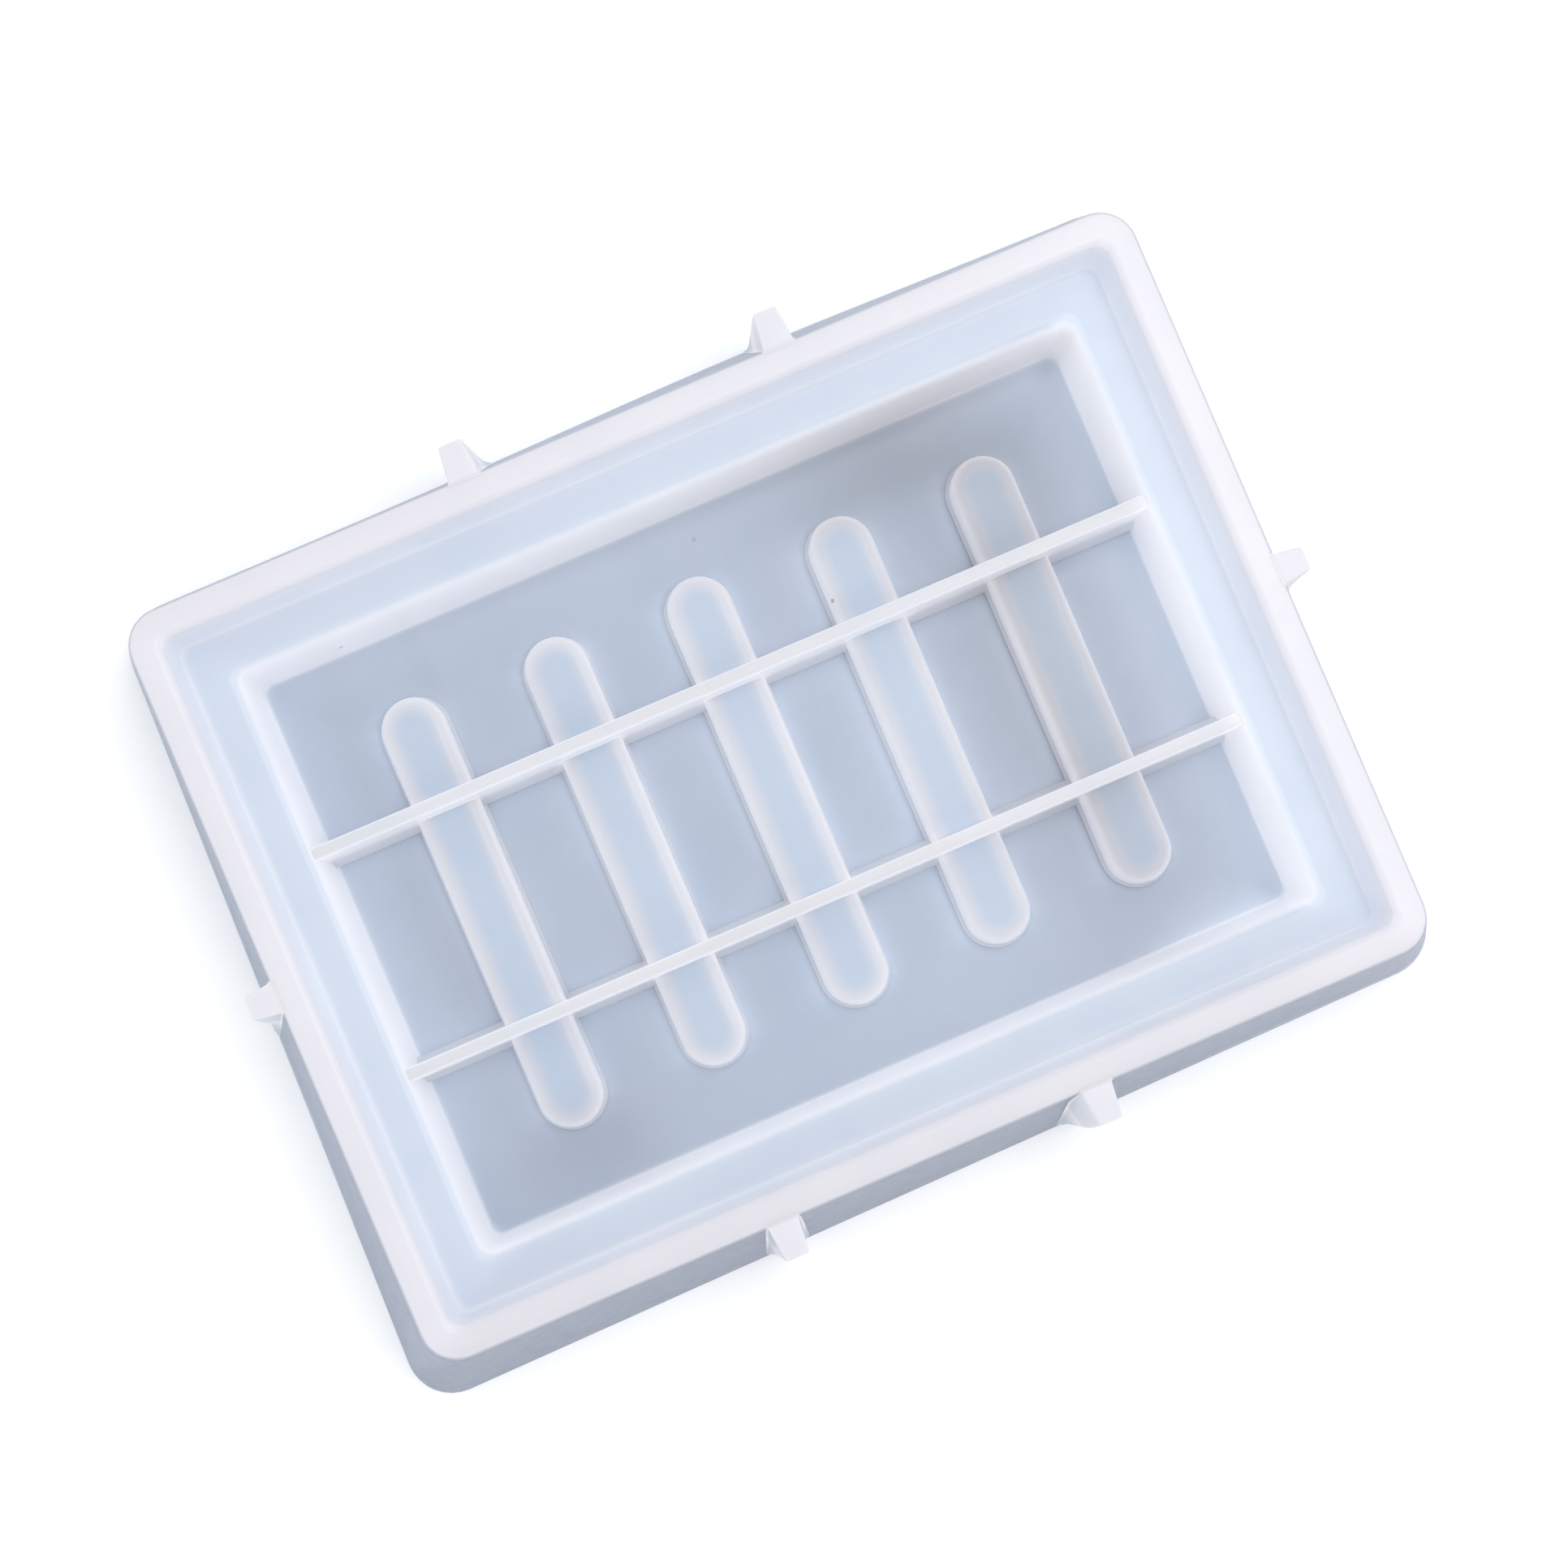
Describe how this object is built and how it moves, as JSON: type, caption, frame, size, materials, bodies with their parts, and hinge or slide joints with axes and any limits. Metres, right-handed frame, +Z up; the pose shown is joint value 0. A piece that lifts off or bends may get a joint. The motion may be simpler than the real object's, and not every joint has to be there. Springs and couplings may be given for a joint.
{
  "type": "soap dish mould",
  "caption": "Open rectangular silicone casting mould with a stepped cavity, slot cores, two long dividers and pull tabs round the rim; it casts a slotted soap dish.",
  "frame": {"origin": "middle of the flat underside", "axes": "+X along the mould's long side, +Y across it, +Z up out of the open side"},
  "size_m": [0.161, 0.122, 0.025],
  "materials": {
    "silicone": "milky translucent satin silicone"
  },
  "bodies": {
    "root": {"base_floor": "silicone", "ledge_left": "silicone", "ledge_right": "silicone", "ledge_front": "silicone", "ledge_back": "silicone", "rim_wall_left": "silicone", "rim_wall_right": "silicone", "rim_wall_front": "silicone", "rim_wall_back": "silicone", "slot_core_1": "silicone", "slot_core_2": "silicone", "slot_core_3": "silicone", "slot_core_4": "silicone", "slot_core_5": "silicone", "divider_front": "silicone", "divider_back": "silicone", "pull_tab_front_left": "silicone", "pull_tab_front_right": "silicone", "pull_tab_back_left": "silicone", "pull_tab_back_right": "silicone", "pull_tab_left": "silicone", "pull_tab_right": "silicone"}
  },
  "joints": []
}
